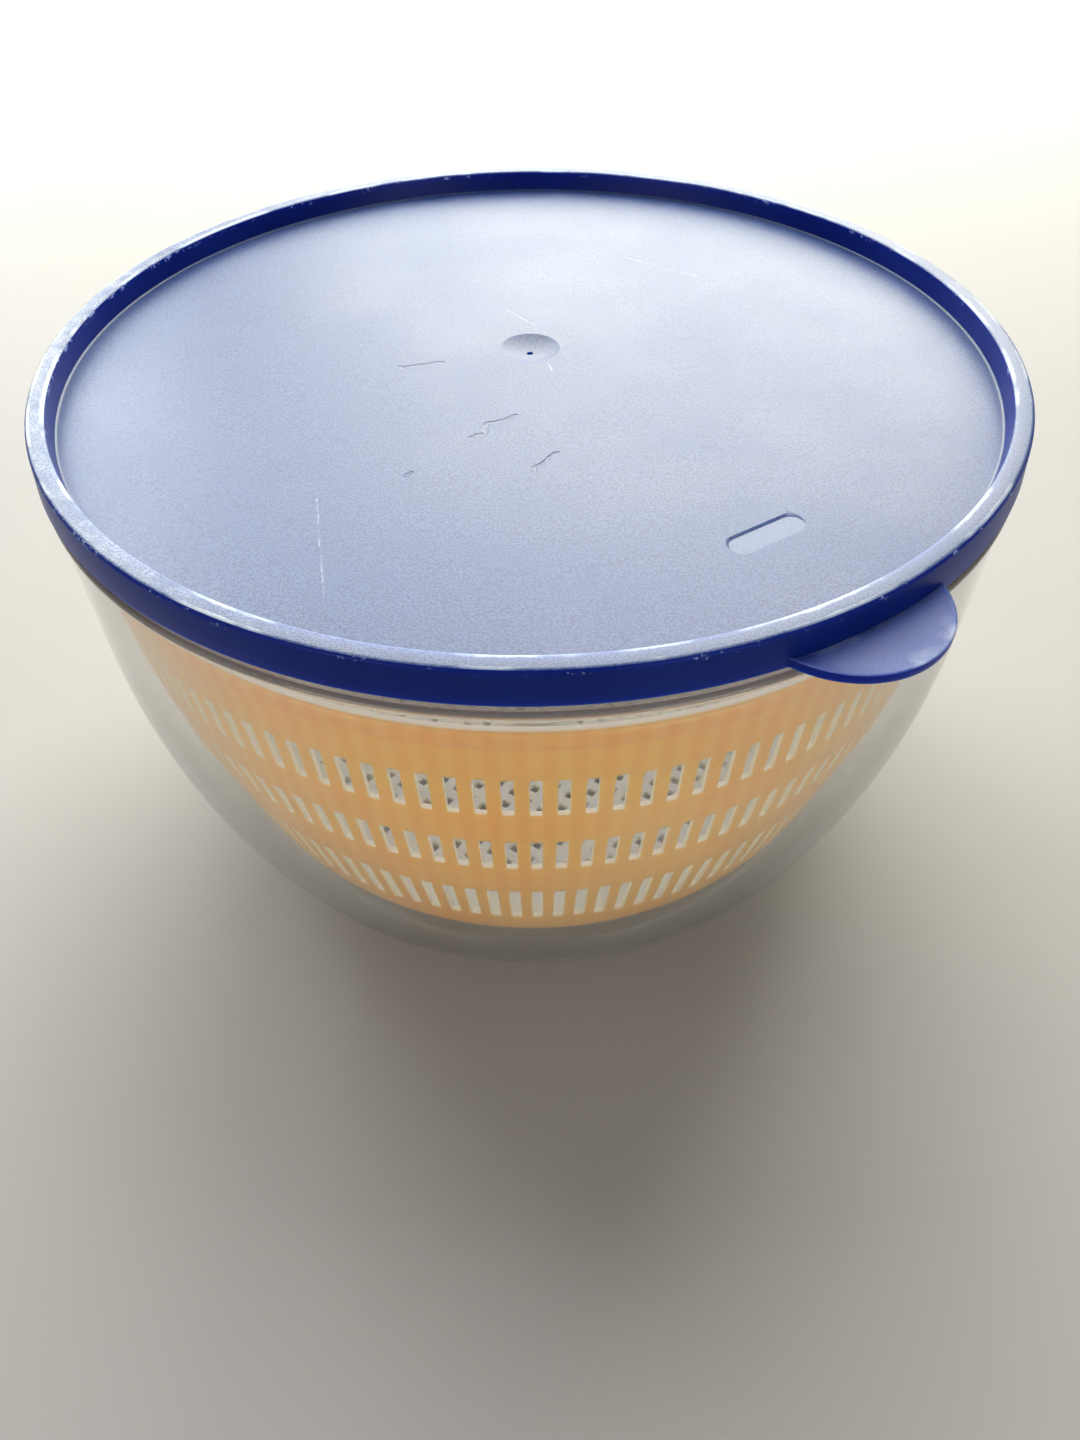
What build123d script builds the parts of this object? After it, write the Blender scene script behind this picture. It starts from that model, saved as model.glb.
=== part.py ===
from build123d import *
from math import acos, asin, cos, degrees, hypot, radians, sin, sqrt, tan
import os

# A salad spinner closed for storage: a clear bowl, a slotted basket that turns on a pivot in the bowl,
# and a flexible press-on lid with a pull tab.
# Millimetres, +Z up, origin on the spin axis at the face the bowl stands on.

os.makedirs("parts", exist_ok=True)

# Whole object
HEIGHT = 160.0
FRONT = -90.0  # direction of the front, in degrees from +X
RUNNING_FIT = 0.05  # radial clearance of a turning or sliding fit

# Storage lid: an upside-down channel over the bowl's rim, and a sunken, slightly domed plate inside it
LID_WALL = 1.6
LID_TOP_RADIUS = 132.0
LID_SKIRT_RADIUS = 132.8
LID_SKIRT_WALL = 1.25
LID_SKIRT_DEPTH = 9.0
LID_LIP_RADIUS = 127.3  # inner edge of the flat rim
LID_PLATE_RADIUS = 126.5
LID_PLATE_DEPTH = 6.2
LID_CROWN = 3.6  # rise of the plate's centre over its edge
LID_ROUND = 0.6
DIMPLE_RADIUS = 8.3
DIMPLE_DEPTH = 1.7
GATE_RADIUS = 0.9  # mark left by the mould's gate, in the dimple
GATE_DEPTH = 0.7
BADGE_LENGTH = 21.0
BADGE_WIDTH = 6.2
BADGE_RADIUS = 98.9  # distance of the blank badge from the axis
BADGE_DEPTH = 0.25
TAB_AZIMUTH = FRONT + 32.0
TAB_ROUND = 23.0
TAB_REACH = 146.6  # distance of the tab's tip from the axis
TAB_CORNER = 3.0
TAB_THICKNESS = 1.9
TAB_BEAD = 0.5  # height of the tab's raised edge
TAB_BEAD_WIDTH = 1.2

# Bowl
BOWL_WALL = 2.2
BOWL_SIDE_RADIUS = 131.0  # outer radius where the straight side ends and the belly starts
BOWL_SIDE_HEIGHT = 107.0
BOWL_DRAFT = 0.9
BOWL_BELLY = 218.0
BOWL_CORNER = 35.0
BOWL_RIM = 1.6  # thickness of the rim
BOWL_RIM_TOP = HEIGHT - LID_WALL
COLLAR_TOP = HEIGHT - 11.8  # the collar is a low band around the bowl, just under the lid's skirt
COLLAR_BOTTOM = HEIGHT - 14.2
COLLAR_RADIUS = 132.5
COLLAR_ROUND = 0.4
FOOT_RADIUS = 70.0  # inner edge of the ring the bowl stands on
FOOT_RISE = 1.2
BOSS_RADIUS = 15.0
BOSS_NOSE = 7.0
BOSS_TOP = 12.0
BOSS_ROUND = 4.0

# Pivot: a steel pin pressed into the bowl's boss, and a plastic cup that sits on it
PIN_RADIUS = 2.5
PIN_BOTTOM = 4.4
PIN_TOP = 27.0
PIN_CHAMFER = 0.6
CUP_BOTTOM = BOSS_TOP + 1.0
CUP_RADIUS = 5.5
CUP_NECK = 4.6
CUP_FLANGE = 7.5
CUP_FLANGE_HEIGHT = 1.2
CUP_TOP = PIN_TOP + 2.0
CUP_CHAMFER = 0.4

# Basket
BASKET_WALL = 1.8
BASKET_RIM_TOP = HEIGHT - 23.2
BASKET_RIM_RADIUS = 125.4
BASKET_RIM_WIDTH = 3.0
BASKET_RIM_HEIGHT = 5.0
BASKET_SIDE_RADIUS = 124.2
BASKET_SIDE_HEIGHT = BASKET_RIM_TOP - 6.2
BASKET_DRAFT = 2.2
BASKET_BELLY = 360.0
BASKET_CORNER = 23.0
BASKET_FLOOR = 19.5
SLOT_COUNT = 120
SLOT_WIDTH = 2.9
SLOT_ROWS = ((112.3, 13.8), (85.7, 14.0), (54.2, 20.0))  # height of each row's middle, and of its slots
HOLE_SIDE = 2.8  # the floor's square holes, which stand on a corner
HOLE_PITCH = 7.4
HOLE_ROW_PITCH = 5.2
HOLE_FIELD = (17.0, 80.0)  # nearest and farthest a floor hole is from the axis
HOLE_TURN = 9.5
HUB_RADIUS = 9.0
HUB_LIP = 1.2  # thickness of the inward lip that snaps into the cup's neck
HUB_PLAY = 0.2  # room above and below that lip
HUB_TOP = CUP_TOP + BASKET_WALL
HUB_ROUND = 1.2


def shell_centres(side_radius, side_height, draft, belly, corner, floor):
    """Centres of a shell's belly arc and of the corner arc below it, and the slope where they meet.
    The arcs are tangent to each other, to the drafted side above and to the level floor below."""
    belly_centre = (
        side_radius - belly * cos(radians(draft)),
        side_height + belly * sin(radians(draft)),
    )
    meeting = asin((belly_centre[1] - floor - corner) / (belly - corner))
    corner_centre = (belly_centre[0] + (belly - corner) * cos(meeting), floor + corner)
    return belly_centre, corner_centre, degrees(meeting)


def shell_side(belly_centre, corner_centre, meeting, draft, belly, corner):
    """Draws one face of a shell's side, and returns its upper and lower ends."""
    side = CenterArc(belly_centre, belly, -draft, draft - meeting)
    base = CenterArc(corner_centre, corner, -meeting, meeting - 90)
    return side @ 0, base @ 1


def arc_height(top, radius, distance):
    """Height, at a distance from the axis, of a dome of that radius whose top is on the axis."""
    return top - radius + sqrt(radius**2 - distance**2)


def circles_at(part, radius, height):
    """The part's round edges of that radius at that height."""
    return part.edges().filter_by(
        lambda edge: edge.geom_type == GeomType.CIRCLE
        and abs(edge.radius - radius) < 0.01
        and abs(edge.center().Z - height) < 0.01
    )


# Bowl ------------------------------------------------------------------------------------------

bowl_arcs = shell_centres(
    BOWL_SIDE_RADIUS, BOWL_SIDE_HEIGHT, BOWL_DRAFT, BOWL_BELLY, BOWL_CORNER, 0
)
bowl_slope = tan(radians(BOWL_DRAFT))
neck_radius = BOWL_SIDE_RADIUS + (COLLAR_BOTTOM - BOWL_SIDE_HEIGHT) * bowl_slope
rim_inner = BOWL_SIDE_RADIUS - BOWL_WALL + (BOWL_RIM_TOP - BOWL_SIDE_HEIGHT) * bowl_slope
rim_outer = rim_inner + BOWL_RIM
inside_floor = FOOT_RISE + BOWL_WALL

with BuildPart() as bowl:
    with BuildSketch(Plane.XZ):
        with BuildLine():
            outer_top, outer_base = shell_side(*bowl_arcs, BOWL_DRAFT, BOWL_BELLY, BOWL_CORNER)
            inner_top, inner_base = shell_side(
                *bowl_arcs, BOWL_DRAFT, BOWL_BELLY - BOWL_WALL, BOWL_CORNER - BOWL_WALL
            )
            Polyline(
                outer_top,
                (neck_radius, COLLAR_BOTTOM),
                (COLLAR_RADIUS, COLLAR_BOTTOM),
                (COLLAR_RADIUS, COLLAR_TOP),
                (rim_outer, COLLAR_TOP),
                (rim_outer, BOWL_RIM_TOP),
                (rim_inner, BOWL_RIM_TOP),
                inner_top,
            )
            Polyline(
                inner_base,
                (FOOT_RADIUS + BOWL_WALL, BOWL_WALL),
                (FOOT_RADIUS - BOWL_WALL, inside_floor),
                (BOSS_RADIUS, inside_floor),
                (BOSS_NOSE, BOSS_TOP),
                (PIN_RADIUS, BOSS_TOP),
                (PIN_RADIUS, PIN_BOTTOM),
                (0, PIN_BOTTOM),
                (0, FOOT_RISE),
                (FOOT_RADIUS - FOOT_RISE, FOOT_RISE),
                (FOOT_RADIUS, 0),
                outer_base,
            )
        make_face()
    revolve(axis=Axis.Z)
    for radius in (rim_inner, rim_outer):
        fillet(circles_at(bowl, radius, BOWL_RIM_TOP), radius=BOWL_RIM * 0.4)
    for height in (COLLAR_BOTTOM, COLLAR_TOP):
        fillet(circles_at(bowl, COLLAR_RADIUS, height), radius=COLLAR_ROUND)
    fillet(circles_at(bowl, BOSS_RADIUS, inside_floor), radius=BOSS_ROUND)
    fillet(circles_at(bowl, BOSS_NOSE, BOSS_TOP), radius=BOSS_ROUND / 4)
bowl.part.label = "bowl"

# Pivot pin -------------------------------------------------------------------------------------

with BuildPart() as pivot_pin:
    with BuildSketch(Plane.XY.offset(PIN_BOTTOM)):
        Circle(PIN_RADIUS)
    extrude(amount=PIN_TOP - PIN_BOTTOM)
    chamfer(pivot_pin.edges().filter_by(GeomType.CIRCLE), length=PIN_CHAMFER)
pivot_pin.part.label = "pivot_pin"

# Bearing cup -----------------------------------------------------------------------------------

neck_bottom = CUP_BOTTOM + CUP_FLANGE_HEIGHT
neck_top = neck_bottom + HUB_LIP + 2 * HUB_PLAY

with BuildPart() as bearing_cup:
    with BuildSketch(Plane.XZ):
        with BuildLine():
            Polyline(
                (0, CUP_TOP),
                (CUP_RADIUS, CUP_TOP),
                (CUP_RADIUS, neck_top),
                (CUP_NECK, neck_top),
                (CUP_NECK, neck_bottom),
                (CUP_FLANGE, neck_bottom),
                (CUP_FLANGE, CUP_BOTTOM),
                (PIN_RADIUS + RUNNING_FIT, CUP_BOTTOM),
                (PIN_RADIUS + RUNNING_FIT, PIN_TOP),
                (0, PIN_TOP),
                close=True,
            )
        make_face()
    revolve(axis=Axis.Z)
    chamfer(circles_at(bearing_cup, CUP_RADIUS, CUP_TOP), length=CUP_CHAMFER)
    chamfer(circles_at(bearing_cup, PIN_RADIUS + RUNNING_FIT, CUP_BOTTOM), length=CUP_CHAMFER)
bearing_cup.part.label = "bearing_cup"

# Basket ----------------------------------------------------------------------------------------

basket_arcs = shell_centres(
    BASKET_SIDE_RADIUS, BASKET_SIDE_HEIGHT, BASKET_DRAFT, BASKET_BELLY, BASKET_CORNER, BASKET_FLOOR
)
lip_bottom = neck_bottom + HUB_PLAY
hub_bore = CUP_RADIUS + RUNNING_FIT
lip_bore = CUP_NECK + RUNNING_FIT
floor_top = BASKET_FLOOR + BASKET_WALL


def floor_holes():
    """Places of the floor's holes: staggered rows, kept between the hub and the basket's corner."""
    nearest, farthest = HOLE_FIELD
    columns = int(farthest / HOLE_PITCH) + 1
    rows = int(farthest / HOLE_ROW_PITCH) + 1
    grid = [
        ((column + (row % 2) / 2) * HOLE_PITCH, row * HOLE_ROW_PITCH)
        for row in range(-rows, rows + 1)
        for column in range(-columns, columns + 1)
    ]
    return [place for place in grid if nearest < hypot(*place) < farthest]


with BuildPart() as basket:
    with BuildSketch(Plane.XZ):
        with BuildLine():
            outer_top, outer_base = shell_side(
                *basket_arcs, BASKET_DRAFT, BASKET_BELLY, BASKET_CORNER
            )
            inner_top, inner_base = shell_side(
                *basket_arcs, BASKET_DRAFT, BASKET_BELLY - BASKET_WALL, BASKET_CORNER - BASKET_WALL
            )
            Polyline(
                outer_top,
                (BASKET_RIM_RADIUS, BASKET_RIM_TOP - BASKET_RIM_HEIGHT),
                (BASKET_RIM_RADIUS, BASKET_RIM_TOP),
                (BASKET_RIM_RADIUS - BASKET_RIM_WIDTH, BASKET_RIM_TOP),
                inner_top,
            )
            Polyline(
                inner_base,
                (HUB_RADIUS, floor_top),
                (HUB_RADIUS, HUB_TOP),
                (0, HUB_TOP),
                (0, CUP_TOP),
                (hub_bore, CUP_TOP),
                (hub_bore, lip_bottom + HUB_LIP),
                (lip_bore, lip_bottom + HUB_LIP),
                (lip_bore, lip_bottom),
                (HUB_RADIUS, lip_bottom),
                (HUB_RADIUS, BASKET_FLOOR),
                outer_base,
            )
        make_face()
    revolve(axis=Axis.Z)
    for radius in (BASKET_RIM_RADIUS, BASKET_RIM_RADIUS - BASKET_RIM_WIDTH):
        fillet(circles_at(basket, radius, BASKET_RIM_TOP), radius=HUB_ROUND)
    fillet(circles_at(basket, HUB_RADIUS, HUB_TOP), radius=HUB_ROUND)
    fillet(circles_at(basket, HUB_RADIUS, floor_top), radius=2 * HUB_ROUND)
    for middle, height in SLOT_ROWS:
        with BuildSketch(Plane.XY.offset(middle - height / 2)):
            with PolarLocations(BASKET_RIM_RADIUS, SLOT_COUNT, start_angle=FRONT):
                Rectangle(60, SLOT_WIDTH)
        extrude(amount=height, mode=Mode.SUBTRACT)
    with BuildSketch(Plane.XY.offset(BASKET_FLOOR - 1).rotated((0, 0, HOLE_TURN))):
        with Locations(*floor_holes()):
            Rectangle(HOLE_SIDE, HOLE_SIDE, rotation=45)
    extrude(amount=BASKET_WALL + 2, mode=Mode.SUBTRACT)
basket.part.label = "basket"

# Storage lid -----------------------------------------------------------------------------------

skirt_bottom = HEIGHT - LID_SKIRT_DEPTH
plate_edge = HEIGHT - LID_PLATE_DEPTH
plate_top = plate_edge + LID_CROWN
crown = (LID_PLATE_RADIUS**2 + LID_CROWN**2) / (2 * LID_CROWN)  # radius of the plate's dome
dish = (DIMPLE_RADIUS**2 + DIMPLE_DEPTH**2) / (2 * DIMPLE_DEPTH)  # radius of the dimple's dish
dimple_edge = (DIMPLE_RADIUS, arc_height(plate_top, crown, DIMPLE_RADIUS))
dish_bottom = dimple_edge[1] - DIMPLE_DEPTH
gate_edge = (GATE_RADIUS, dish_bottom + dish - sqrt(dish**2 - GATE_RADIUS**2))
gate_bottom = dish_bottom - GATE_DEPTH
under_dimple = dish_bottom - LID_WALL
under_plate = (DIMPLE_RADIUS + LID_WALL, dimple_edge[1] - LID_WALL)
under_edge = LID_PLATE_RADIUS + LID_WALL  # where the plate's underside meets the channel's inner wall
channel_outer = LID_SKIRT_RADIUS - LID_SKIRT_WALL
channel_top = HEIGHT - LID_WALL
tab_root = (channel_outer + LID_SKIRT_RADIUS) / 2  # the tab starts inside the skirt's wall
tab_centre = TAB_REACH - TAB_ROUND
corner_reach = tab_root + TAB_CORNER  # the tab's inner corners are round, about a point this far out
corner_angle = acos(
    (tab_centre**2 + corner_reach**2 - (TAB_ROUND + TAB_CORNER) ** 2) / (2 * tab_centre * corner_reach)
)
corner_x = corner_reach * cos(corner_angle)
corner_y = corner_reach * sin(corner_angle)
badge_height = arc_height(plate_top, crown, BADGE_RADIUS) - BADGE_DEPTH

with BuildPart() as storage_lid:
    with BuildSketch(Plane.XZ):
        with BuildLine():
            RadiusArc(gate_edge, dimple_edge, -dish)
            RadiusArc(dimple_edge, (LID_PLATE_RADIUS, plate_edge), crown)
            Polyline(
                (LID_PLATE_RADIUS, plate_edge),
                (LID_LIP_RADIUS, HEIGHT),
                (LID_TOP_RADIUS, HEIGHT),
                (LID_SKIRT_RADIUS, skirt_bottom),
                (channel_outer, skirt_bottom),
                (channel_outer, channel_top),
                (LID_LIP_RADIUS + LID_WALL, channel_top),
                (under_edge, plate_edge - LID_WALL),
            )
            RadiusArc((under_edge, plate_edge - LID_WALL), under_plate, -crown)
            Polyline(
                under_plate,
                (DIMPLE_RADIUS / 2, under_dimple),
                (0, under_dimple),
                (0, gate_bottom),
                (GATE_RADIUS, gate_bottom),
                gate_edge,
            )
        make_face()
    revolve(axis=Axis.Z)
    fillet(circles_at(storage_lid, LID_TOP_RADIUS, HEIGHT), radius=2 * LID_ROUND)
    fillet(circles_at(storage_lid, LID_LIP_RADIUS, HEIGHT), radius=LID_ROUND)
    fillet(circles_at(storage_lid, LID_PLATE_RADIUS, plate_edge), radius=LID_ROUND)

    with BuildSketch(Plane.XY.offset(skirt_bottom).rotated((0, 0, TAB_AZIMUTH))):
        Circle(tab_root)
        with Locations((tab_centre, 0)):
            Circle(TAB_ROUND)
        Polygon((0, 0), (corner_x, corner_y), (tab_centre, 0), (corner_x, -corner_y), align=None)
        with Locations((corner_x, corner_y), (corner_x, -corner_y)):
            Circle(TAB_CORNER, mode=Mode.SUBTRACT)
        Circle(channel_outer + LID_SKIRT_WALL / 4, mode=Mode.SUBTRACT)
    extrude(amount=TAB_THICKNESS)
    with BuildSketch(Plane.XY.offset(skirt_bottom + TAB_THICKNESS).rotated((0, 0, TAB_AZIMUTH))):
        with Locations((tab_centre, 0)):
            Circle(TAB_ROUND)
            Circle(TAB_ROUND - TAB_BEAD_WIDTH, mode=Mode.SUBTRACT)
        Circle(tab_root, mode=Mode.SUBTRACT)
    extrude(amount=TAB_BEAD)

    with BuildSketch(Plane.XY.offset(badge_height).rotated((0, 0, TAB_AZIMUTH))):
        with Locations((BADGE_RADIUS, 0)):
            SlotOverall(BADGE_LENGTH, BADGE_WIDTH, rotation=90)
    extrude(amount=LID_WALL, mode=Mode.SUBTRACT)
storage_lid.part.label = "storage_lid"

for piece in (bowl, pivot_pin, bearing_cup, basket, storage_lid):
    export_step(piece.part, f"parts/{piece.part.label}.step")
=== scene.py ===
"""A salad spinner closed for storage: a clear bowl, a slotted basket on a pivot in it, and a blue lid.

Outlines are in millimetres in the row frame, +Z up, and become metres when a mesh is made. Heights and
outer radii come from the CAD nodes' boxes. The offsets from them are the mouldings' own dimensions.
"""

from math import acos, asin, atan2, ceil, cos, hypot, pi, radians, sin, sqrt, tan

import bmesh
import bpy
from mathutils import Matrix, Vector
from mathutils.geometry import delaunay_2d_cdt


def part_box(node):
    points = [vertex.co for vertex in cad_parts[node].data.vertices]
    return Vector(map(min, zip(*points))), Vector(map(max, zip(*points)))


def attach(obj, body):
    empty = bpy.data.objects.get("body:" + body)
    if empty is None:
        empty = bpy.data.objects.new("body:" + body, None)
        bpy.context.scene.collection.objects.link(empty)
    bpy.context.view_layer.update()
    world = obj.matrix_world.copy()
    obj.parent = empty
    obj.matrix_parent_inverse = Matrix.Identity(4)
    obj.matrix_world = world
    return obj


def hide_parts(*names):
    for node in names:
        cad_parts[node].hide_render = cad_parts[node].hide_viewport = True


MM = 0.001
FULL = 2 * pi

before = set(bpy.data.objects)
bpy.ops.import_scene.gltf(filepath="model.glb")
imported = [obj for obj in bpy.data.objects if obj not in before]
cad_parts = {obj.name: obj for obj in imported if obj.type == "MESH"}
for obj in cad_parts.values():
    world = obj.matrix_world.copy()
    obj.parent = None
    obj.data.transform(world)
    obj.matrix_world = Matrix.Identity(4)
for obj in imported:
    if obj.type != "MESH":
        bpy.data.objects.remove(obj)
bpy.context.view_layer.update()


def box_mm(node):
    """The lowest and highest corner of a CAD node, in millimetres."""
    low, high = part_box(node)
    return low / MM, high / MM


lid_low, lid_high = box_mm("storage_lid")
bowl_low, bowl_high = box_mm("bowl")
basket_low, basket_high = box_mm("basket")
cup_low, cup_high = box_mm("bearing_cup")
pin_low, pin_high = box_mm("pivot_pin")

FRONT = radians(-90)
TAB_AZIMUTH = FRONT + radians(32)

# Storage lid
HEIGHT = lid_high.z
SKIRT_BOTTOM = lid_low.z
SKIRT_RADIUS = lid_high.x
LID_WALL = HEIGHT - bowl_high.z
LID_TOP_RADIUS = SKIRT_RADIUS - 0.8
LIP_RADIUS = LID_TOP_RADIUS - 4.7
PLATE_RADIUS = LIP_RADIUS - 0.8
PLATE_EDGE = HEIGHT - 6.2
PLATE_CROWN = 3.6
CHANNEL_OUTER = SKIRT_RADIUS - 1.25
LID_ROUND = 0.6
SKIRT_ROUND = 0.3
CHANNEL_ROUND = 0.4
DIMPLE_RADIUS = 8.3
DIMPLE_DEPTH = 1.7
GATE_RADIUS = 0.9
GATE_DEPTH = 0.7
BADGE_LENGTH = 21.0
BADGE_WIDTH = 6.2
BADGE_RADIUS = 98.9
BADGE_DEPTH = 0.25
TAB_ROUND = 23.0
TAB_CENTRE = 123.6
TAB_CORNER = 3.0
TAB_THICKNESS = 1.9
TAB_BEAD = 0.5

# Bowl
BOWL_WALL = 2.2
BOWL_SIDE_RADIUS = bowl_high.x - 1.5
BOWL_SIDE_HEIGHT = 107.0
BOWL_DRAFT = radians(0.9)
BOWL_BELLY = 218.0
BOWL_CORNER = 35.0
BOWL_RIM = 1.6
COLLAR_TOP = HEIGHT - 11.8
COLLAR_BOTTOM = HEIGHT - 14.2
FOOT_RADIUS = 70.0
FOOT_RISE = 1.2
BOSS_RADIUS = 15.0
BOSS_NOSE = 7.0
BOSS_TOP = cup_low.z - 1.0

# Basket
BASKET_WALL = 1.8
RIM_TOP = basket_high.z
RIM_RADIUS = basket_high.x
RIM_WIDTH = 3.0
RIM_HEIGHT = 5.0
RIM_ROUND = 1.2
BASKET_SIDE_RADIUS = RIM_RADIUS - 1.2
BASKET_SIDE_HEIGHT = RIM_TOP - 6.2
BASKET_DRAFT = radians(2.2)
BASKET_BELLY = 360.0
BASKET_CORNER = 23.0
BASKET_FLOOR = 19.5
BAND_STEP = 0.35  # the wall steps out by this above each row of slots
SLOT_COUNT = 120
SLOT_WIDTH = 2.9
SLOT_ROWS = ((112.3, 13.8), (85.7, 14.0), (54.2, 20.0))  # each row's middle and the slots' height
HOLE_SIDE = 2.8
HOLE_PITCH = 7.4
HOLE_ROW_PITCH = 5.2
HOLE_FIELD = (17.0, 80.0)  # nearest and farthest hole from the axis
HOLE_TURN = radians(9.5)
HUB_RADIUS = 9.0
HUB_BOTTOM = basket_low.z
HUB_LIP = 1.2
HUB_TOP = cup_high.z + BASKET_WALL
HUB_ROUND = 1.2
RUNNING_FIT = 0.05
CUP_RADIUS = cup_high.x - 2.0
CUP_NECK = CUP_RADIUS - 0.9
WALL_STEP = 4.0  # at most this between two rings of the slotted wall

# Marks on the lid's plate, each a line between two (x, y) ends in millimetres
SCUFFS = (
    ((-15, -45), (-12, -43)),
    ((-12, -43), (-11, -39)),
    ((-11, -39), (-4, -35)),
    ((-35, -10), (-24, -7)),
    ((0, -60), (6, -52)),
    ((-30, -61), (-28, -60)),
)
SCRATCHES = (
    ((-50, -69), (-44, -103)),
    ((-7, 24), (1, 14)),
    ((5, -8), (6, -13)),
    ((30, 62), (52, 47)),
)

# The plastics' colours, and how they bend and scatter light
LID_VALLEY = (0.004, 0.032, 0.16, 1)
LID_PEAK = (0.045, 0.105, 0.27, 1)
# Dust patches, and also a painted sheen: part of the plate's silvery haze of reflected light
LID_DUST_AND_SHEEN = (0.14, 0.21, 0.36, 1)
# A painted shade for the tab: a deeper blue where it reflects less haze
LID_TAB_SHADE = (0.008, 0.05, 0.36, 1)
# Rubbed wear and scratches, and a painted highlight on the badge's floor
LID_RUBBED_AND_BADGE_SHEEN = (0.50, 0.56, 0.72, 1)
LID_SCUFFED = (0.02, 0.04, 0.14, 1)
LID_NICKED = (0.34, 0.42, 0.70, 1)
LID_WALL_BLUES = ((0.002, 0.014, 0.19, 1), (0.004, 0.021, 0.23, 1))
LID_UNDER_BLUES = ((0.10, 0.19, 0.46, 1), (0.13, 0.23, 0.50, 1))
LID_GLOW = (0.54, 0.51, 0.56, 1)
LID_SCATTER = (0.5, 0.8, 1.5)
LID_IOR = 1.51
BOWL_CLEAR = (0.93, 0.93, 0.91, 1)
BOWL_EDGE = (0.40, 0.41, 0.40, 1)
# A painted shadow on the bowl's collar, under the lid's skirt
BOWL_COLLAR_SHADOW = (0.50, 0.46, 0.45, 1)
BOWL_GLOW = (0.93, 0.93, 0.92, 1)
# The aged amber, made brighter and more saturated as a painted glow of light through the wall
BASKET_AMBERS_AND_GLOW = ((0.90, 0.40, 0.10, 1), (0.93, 0.50, 0.17, 1))
# Painted light: a paler colour on the basket's inward faces, for the light inside it
BASKET_INSIDE_PAINTED_LIGHT = (0.92, 0.80, 0.62, 1)


# Outlines and meshes ---------------------------------------------------------------------------


def spaced(start, end, steps):
    """Evenly spaced numbers, with both ends."""
    return [start + (end - start) * i / steps for i in range(steps + 1)]


def arc(centre, radius, start, end, steps):
    """Points on an arc about centre, from one angle to another."""
    x, y = centre
    return [(x + radius * cos(a), y + radius * sin(a)) for a in spaced(start, end, steps)]


def rounded(corners, steps=5):
    """An outline through (radius, height, rounding) corners, with an arc wherever there is a rounding."""
    path = []
    for i, (x, y, rounding) in enumerate(corners):
        here = Vector((x, y))
        if not rounding or i in (0, len(corners) - 1):
            path.append((x, y))
            continue
        before = (Vector(corners[i - 1][:2]) - here).normalized()
        after = (Vector(corners[i + 1][:2]) - here).normalized()
        half = before.angle(after) / 2
        centre = here + (before + after).normalized() * rounding / sin(half)
        start = here + before * rounding / tan(half) - centre
        end = here + after * rounding / tan(half) - centre
        first = atan2(start.y, start.x)
        turn = (atan2(end.y, end.x) - first + pi) % FULL - pi
        path += arc(centre, rounding, first, first + turn, steps)
    return path


def shell_arcs(side_radius, side_height, draft, belly, corner, floor):
    """Centres of a shell's belly arc and of the corner arc below it, and the slope where they meet."""
    belly_centre = (side_radius - belly * cos(draft), side_height + belly * sin(draft))
    meeting = asin((belly_centre[1] - floor - corner) / (belly - corner))
    corner_centre = (belly_centre[0] + (belly - corner) * cos(meeting), floor + corner)
    return belly_centre, corner_centre, meeting


def make_object(name, vertices, faces, sharp=35):
    """A mesh object from vertices in millimetres, welded, with outward normals and smooth shading."""
    mesh = bpy.data.meshes.new(name)
    mesh.from_pydata([Vector(v) * MM for v in vertices], [], faces)
    work = bmesh.new()
    work.from_mesh(mesh)
    bmesh.ops.remove_doubles(work, verts=work.verts, dist=0.002 * MM)
    bmesh.ops.recalc_face_normals(work, faces=work.faces)
    work.to_mesh(mesh)
    work.free()
    piece = bpy.data.objects.new(name, mesh)
    bpy.context.scene.collection.objects.link(piece)
    smooth(piece, sharp)
    return piece


def smooth(piece, sharp):
    """Smooth shading, apart from edges sharper than this many degrees."""
    piece.data.polygons.foreach_set("use_smooth", [True] * len(piece.data.polygons))
    piece.data.set_sharp_from_angle(angle=radians(sharp))


def lathe(outline, columns, closed=True):
    """Vertices and faces of an outline turned about Z. A point on the axis is one vertex."""
    vertices, rings, faces = [], [], []
    for radius, height in outline:
        count = 1 if radius < 1e-6 else columns
        rings.append([len(vertices) + i for i in range(count)])
        angles = [FULL * i / columns for i in range(count)]
        vertices += [(radius * cos(a), radius * sin(a), height) for a in angles]
    following = rings[1:] + rings[:1] if closed else rings[1:]
    for low, high in zip(rings, following):
        if len(low) == 1 and len(high) == 1:
            continue
        for i in range(columns):
            j = (i + 1) % columns
            corners = [low[i % len(low)], low[j % len(low)], high[j % len(high)], high[i % len(high)]]
            faces.append(list(dict.fromkeys(corners)))
    return vertices, faces


def combine(piece, other, operation):
    """Joins another solid to a piece, or cuts it out of the piece, and removes the other object."""
    modifier = piece.modifiers.new(operation.title(), "BOOLEAN")
    modifier.operation = operation
    modifier.solver = "EXACT"
    modifier.object = other
    bpy.context.view_layer.update()
    evaluated = piece.evaluated_get(bpy.context.evaluated_depsgraph_get())
    mesh = bpy.data.meshes.new_from_object(evaluated)
    piece.modifiers.remove(modifier)
    piece.data = mesh
    bpy.data.objects.remove(other)
    smooth(piece, sharp=22)


# Storage lid -----------------------------------------------------------------------------------


def plate_height(radius, crown_radius):
    """Height of the plate's domed upper face."""
    return PLATE_EDGE + PLATE_CROWN - crown_radius + sqrt(crown_radius**2 - radius**2)


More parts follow.
